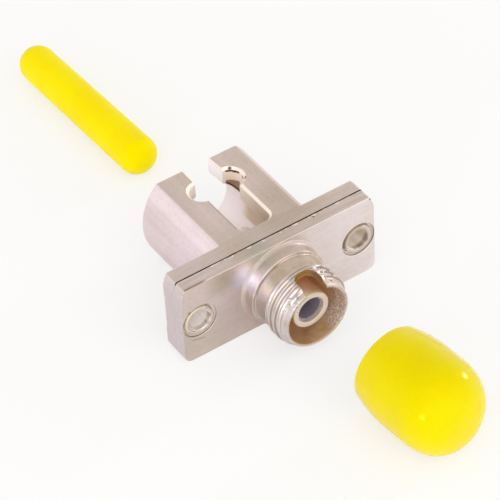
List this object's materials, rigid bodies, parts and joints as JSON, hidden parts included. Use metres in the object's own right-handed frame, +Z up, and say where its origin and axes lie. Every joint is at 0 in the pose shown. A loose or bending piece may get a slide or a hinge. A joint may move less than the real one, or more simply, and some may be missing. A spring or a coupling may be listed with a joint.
{
  "type": "hybrid fibre optic adapter",
  "caption": "Metal hybrid fibre adapter: keyed threaded port in front, slotted latch port behind, riveted two-plate flange, and its yellow thread cap and long plug lying loose.",
  "frame": {"origin": "bottom centre of the panel seat: the flange's rear face, at the middle of the flat that the flange and the barrel share below", "axes": "+X along the flange, +Y along the port axis from the threaded port to the latched port, +Z up, towards the keyway and the latch slot"},
  "size_m": [0.022, 0.0713, 0.0093],
  "materials": {
    "nickel": "satin nickel plate",
    "holder_nickel": "satin nickel plate",
    "eyelet_nickel": "satin nickel plate",
    "sleeve_bronze": "smooth drawn bronze, plated grey",
    "cap_yellow": "soft semi-gloss vinyl",
    "plug_yellow": "soft semi-gloss vinyl"
  },
  "bodies": {
    "root": {"threaded_housing": "nickel", "latched_housing": "nickel", "large_sleeve_holder": "holder_nickel", "small_sleeve_holder": "holder_nickel", "large_split_sleeve": "sleeve_bronze", "small_split_sleeve": "sleeve_bronze", "eyelet_left": "eyelet_nickel", "eyelet_right": "eyelet_nickel", "thread_dust_cap": "cap_yellow", "long_dust_plug": "plug_yellow"}
  },
  "joints": []
}
